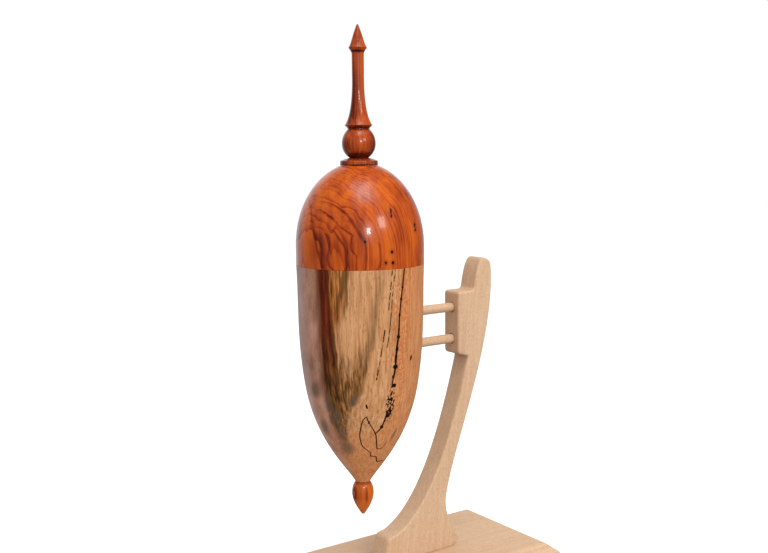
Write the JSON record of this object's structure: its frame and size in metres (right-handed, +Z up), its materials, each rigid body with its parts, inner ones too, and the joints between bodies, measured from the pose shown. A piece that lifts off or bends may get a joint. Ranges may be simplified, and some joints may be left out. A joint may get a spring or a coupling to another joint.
{
  "type": "hanging finial box",
  "caption": "Turned wooden lidded box with a tall finial and a drop finial, hung by two dowels from a curved arm that stands on a base board.",
  "frame": {"origin": "middle of the base board's underside", "axes": "+Z up along the turned pieces' shared axis, +X from the hanging box to the arm, Y across the stand"},
  "size_m": [0.204, 0.1044, 0.385],
  "materials": {
    "pale_beech": "sanded and waxed, satin",
    "spalted_beech": "oiled, semi-gloss",
    "yew": "polished, gloss",
    "bright_steel": "zinc plated"
  },
  "bodies": {
    "stand": {"base_board": "pale_beech", "arm": "pale_beech", "screw_front": "bright_steel", "screw_rear": "bright_steel"},
    "box": {"body": "spalted_beech", "drop_finial": "yew", "dowel_upper": "pale_beech", "dowel_lower": "pale_beech"},
    "lid": {"lid": "yew", "finial": "yew"}
  },
  "joints": [
    {"name": "box_pull_off", "type": "slide", "parent": "stand", "child": "box", "axis": [-1, 0, 0], "range_m": [0, 0.03]},
    {"name": "lid_lift", "type": "slide", "parent": "box", "child": "lid", "axis": [0, 0, 1], "range_m": [0, 0.06]}
  ]
}
